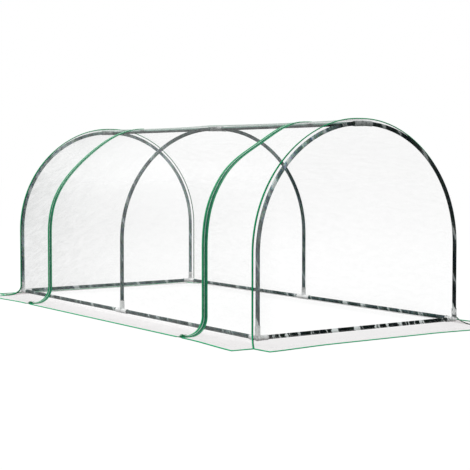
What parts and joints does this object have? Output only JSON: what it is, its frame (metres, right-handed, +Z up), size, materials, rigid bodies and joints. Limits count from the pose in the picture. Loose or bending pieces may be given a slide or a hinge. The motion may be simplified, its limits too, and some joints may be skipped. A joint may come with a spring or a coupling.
{
  "type": "polytunnel greenhouse",
  "caption": "Low hooped growing tunnel: thin tube frame with push-fit connectors under a clear film cover with ground flaps and a zipped roll-up side.",
  "frame": {"origin": "on the ground, in the middle of the tunnel's footprint", "axes": "+X along the tunnel towards its front end, -Y towards the zipped near side, +Z up"},
  "size_m": [2.2398, 1.2398, 0.8295],
  "materials": {
    "galvanised_tube": "mottled zinc",
    "connector_plastic": "satin",
    "clear_film": "clear film",
    "green_binding": "woven tape",
    "zip_tape": "woven tape",
    "zip_slider": "gloss"
  },
  "bodies": {
    "root": {"corner_front_far": "connector_plastic", "corner_front_near": "connector_plastic", "corner_rear_far": "connector_plastic", "corner_rear_near": "connector_plastic", "film_door": "clear_film", "film_end_front": "clear_film", "film_end_rear": "clear_film", "film_far": "clear_film", "film_near_front": "clear_film", "film_near_rear": "clear_film", "foot_tee_far": "connector_plastic", "foot_tee_near": "connector_plastic", "hem_door": "green_binding", "hem_end_front": "green_binding", "hem_end_rear": "green_binding", "hem_far": "green_binding", "hem_near_front": "green_binding", "hem_near_rear": "green_binding", "hoop_front_far": "galvanised_tube", "hoop_front_near": "galvanised_tube", "hoop_middle_far": "galvanised_tube", "hoop_middle_near": "galvanised_tube", "hoop_rear_far": "galvanised_tube", "hoop_rear_near": "galvanised_tube", "piping_front": "green_binding", "piping_rear": "green_binding", "rail_end_front": "galvanised_tube", "rail_end_rear": "galvanised_tube", "rail_far_front": "galvanised_tube", "rail_far_rear": "galvanised_tube", "rail_near_front": "galvanised_tube", "rail_near_rear": "galvanised_tube", "ridge_cross": "connector_plastic", "ridge_front": "galvanised_tube", "ridge_rear": "galvanised_tube", "ridge_tee_front": "connector_plastic", "ridge_tee_rear": "connector_plastic", "slider_front": "zip_slider", "slider_rear": "zip_slider", "zip_front": "zip_tape", "zip_rear": "zip_tape"}
  },
  "joints": []
}
